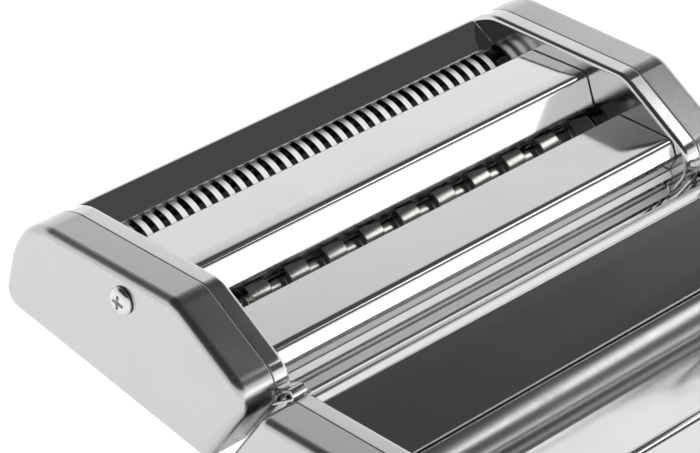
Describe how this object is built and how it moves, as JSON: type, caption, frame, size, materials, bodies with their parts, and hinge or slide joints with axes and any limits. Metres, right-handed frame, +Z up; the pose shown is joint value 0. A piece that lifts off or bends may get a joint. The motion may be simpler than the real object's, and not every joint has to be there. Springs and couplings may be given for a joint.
{
  "type": "pasta roller machine",
  "caption": "Hand-cranked sheet roller with an adjustable gap and a hooked-on double cutter head, on a pressed steel base with rubber feet.",
  "frame": {"origin": "middle of the foot of the bounding box, on the table", "axes": "+X along the rollers towards the crank, +Y from the feed side towards the cutter head, +Z up"},
  "size_m": [0.274, 0.196, 0.141],
  "materials": {
    "polished_steel": "polished stainless sheet, mirror-like",
    "satin_steel": "fine satin stainless",
    "roller_steel": "ground and polished",
    "cutter_steel": "turned, fine rings",
    "turned_steel": "turned and plated",
    "bronze": "sintered bearing bronze",
    "black_plastic": "fine moulded texture",
    "rubber": "matt rubber",
    "dial_white": "satin paint"
  },
  "bodies": {
    "frame": {"base_plate": "polished_steel", "foot_front_left": "rubber", "foot_front_right": "rubber", "foot_rear_left": "rubber", "foot_rear_right": "rubber", "side_frame_left": "satin_steel", "side_frame_right": "satin_steel", "body_cover_left": "polished_steel", "body_cover_right": "polished_steel", "rear_shell": "polished_steel", "front_shell": "polished_steel", "tie_rod_front": "turned_steel", "tie_rod_rear": "turned_steel", "body_screw_front_left": "turned_steel", "body_screw_front_right": "turned_steel", "body_screw_rear_left": "turned_steel", "body_screw_rear_right": "turned_steel", "roller_bush_left": "bronze", "roller_bush_right": "bronze", "scraper_rear": "satin_steel", "scraper_front": "satin_steel", "dial_plate": "dial_white", "hook_rail_left": "polished_steel", "hook_rail_right": "polished_steel"},
    "fixed_roller": {"fixed_roller": "roller_steel", "fixed_gear": "turned_steel"},
    "crank": {"crank_arm": "polished_steel"},
    "grip": {"crank_grip": "black_plastic"},
    "carriage": {"bearing_block_left": "bronze", "bearing_block_right": "bronze"},
    "adjustable_roller": {"adjustable_roller": "roller_steel", "adjustable_gear": "turned_steel"},
    "regulator": {"regulator_shaft": "turned_steel", "regulator_cam_left": "turned_steel", "regulator_cam_right": "turned_steel"},
    "knob": {"regulator_knob": "black_plastic"},
    "cutter_head": {"head_frame_left": "polished_steel", "head_frame_right": "polished_steel", "head_cover_left": "satin_steel", "head_cover_right": "satin_steel", "head_screw_left": "turned_steel", "head_screw_right": "turned_steel", "head_tie_rod": "turned_steel", "rear_guide": "polished_steel", "centre_guide": "polished_steel", "front_guide": "polished_steel", "spaghetti_rear_comb": "satin_steel", "spaghetti_front_comb": "satin_steel", "fettuccine_rear_comb": "satin_steel", "fettuccine_front_comb": "satin_steel", "head_hook_left": "polished_steel", "head_hook_right": "polished_steel"},
    "spaghetti_rear": {"spaghetti_rear_roller": "cutter_steel", "spaghetti_rear_gear": "turned_steel"},
    "spaghetti_front": {"spaghetti_front_roller": "cutter_steel", "spaghetti_front_gear": "turned_steel"},
    "fettuccine_rear": {"fettuccine_rear_roller": "cutter_steel", "fettuccine_rear_gear": "turned_steel"},
    "fettuccine_front": {"fettuccine_front_roller": "cutter_steel", "fettuccine_front_gear": "turned_steel"}
  },
  "joints": [
    {"name": "drive_spin", "type": "hinge", "parent": "frame", "child": "fixed_roller", "pos_m": [-0.031, -0.0158, 0.099], "axis": [1, 0, 0], "continuous": true},
    {"name": "crank_pull", "type": "slide", "parent": "fixed_roller", "child": "crank", "axis": [1, 0, 0], "range_m": [0, 0.03]},
    {"name": "grip_spin", "type": "hinge", "parent": "crank", "child": "grip", "pos_m": [-0.031, -0.0158, 0.021], "axis": [1, 0, 0], "continuous": true},
    {"name": "gap_adjust", "type": "slide", "parent": "frame", "child": "carriage", "axis": [0, -1, 0], "range_m": [0, 0.0026]},
    {"name": "adjustable_spin", "type": "hinge", "parent": "carriage", "child": "adjustable_roller", "pos_m": [-0.031, -0.04421, 0.099], "axis": [1, 0, 0], "continuous": true},
    {"name": "regulator_turn", "type": "hinge", "parent": "frame", "child": "regulator", "pos_m": [-0.031, -0.0671, 0.092], "axis": [-1, 0, 0], "range_deg": [0, 270]},
    {"name": "knob_pull", "type": "slide", "parent": "regulator", "child": "knob", "axis": [-1, 0, 0], "range_m": [0, 0.004], "stiffness_N_per_m": 400},
    {"name": "cutter_lift", "type": "slide", "parent": "frame", "child": "cutter_head", "axis": [0, -0.5619, 0.8272], "range_m": [0, 0.04]},
    {"name": "spaghetti_drive_spin", "type": "hinge", "parent": "cutter_head", "child": "spaghetti_rear", "pos_m": [-0.031, 0.08249, 0.1216], "axis": [1, 0, 0], "continuous": true},
    {"name": "spaghetti_follower_spin", "type": "hinge", "parent": "cutter_head", "child": "spaghetti_front", "pos_m": [-0.031, 0.06649, 0.1216], "axis": [1, 0, 0], "continuous": true},
    {"name": "fettuccine_drive_spin", "type": "hinge", "parent": "cutter_head", "child": "fettuccine_front", "pos_m": [-0.031, 0.03159, 0.1183], "axis": [1, 0, 0], "continuous": true},
    {"name": "fettuccine_follower_spin", "type": "hinge", "parent": "cutter_head", "child": "fettuccine_rear", "pos_m": [-0.031, 0.04759, 0.1183], "axis": [1, 0, 0], "continuous": true}
  ],
  "couplings": [
    {"joint": "adjustable_spin", "follows": "drive_spin", "ratio": -1},
    {"joint": "regulator_turn", "follows": "gap_adjust", "rad_per_m": 1812.3},
    {"joint": "spaghetti_follower_spin", "follows": "spaghetti_drive_spin", "ratio": -1},
    {"joint": "fettuccine_follower_spin", "follows": "fettuccine_drive_spin", "ratio": -1}
  ]
}
